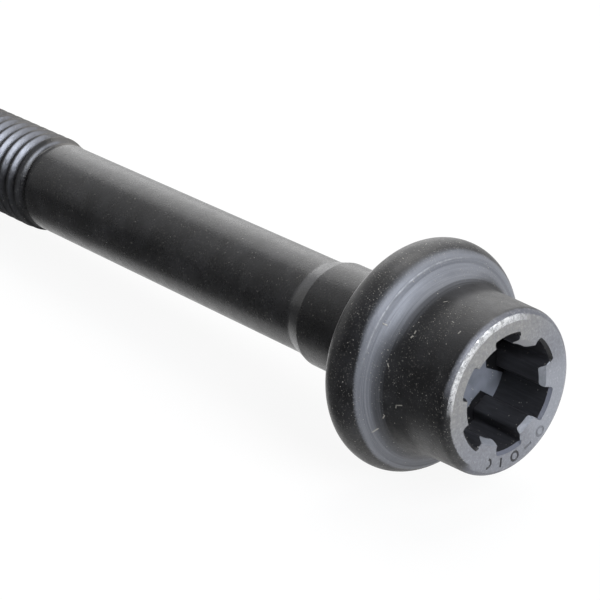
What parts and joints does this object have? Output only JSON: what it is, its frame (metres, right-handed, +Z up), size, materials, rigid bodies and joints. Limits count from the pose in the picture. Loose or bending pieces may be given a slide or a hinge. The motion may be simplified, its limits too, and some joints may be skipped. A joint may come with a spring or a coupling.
{
  "type": "cylinder head bolt",
  "caption": "Flanged engine bolt with a splined drive socket, a pilot neck, a reduced shank and a long threaded end, lying at rest.",
  "frame": {"origin": "centre of the bearing face under the flange", "axes": "+Z up from the surface the bolt lies on, +X along the bolt from its tip to its head, which is 3.3 degrees above level, +Y to the left seen from the tip"},
  "size_m": [0.1127, 0.0216, 0.0216],
  "materials": {
    "phosphated_steel": "black phosphate with a film of oil, satin, worn grey on the head's rim and in the cove"
  },
  "bodies": {
    "root": {"head_bolt": "phosphated_steel"}
  },
  "joints": []
}
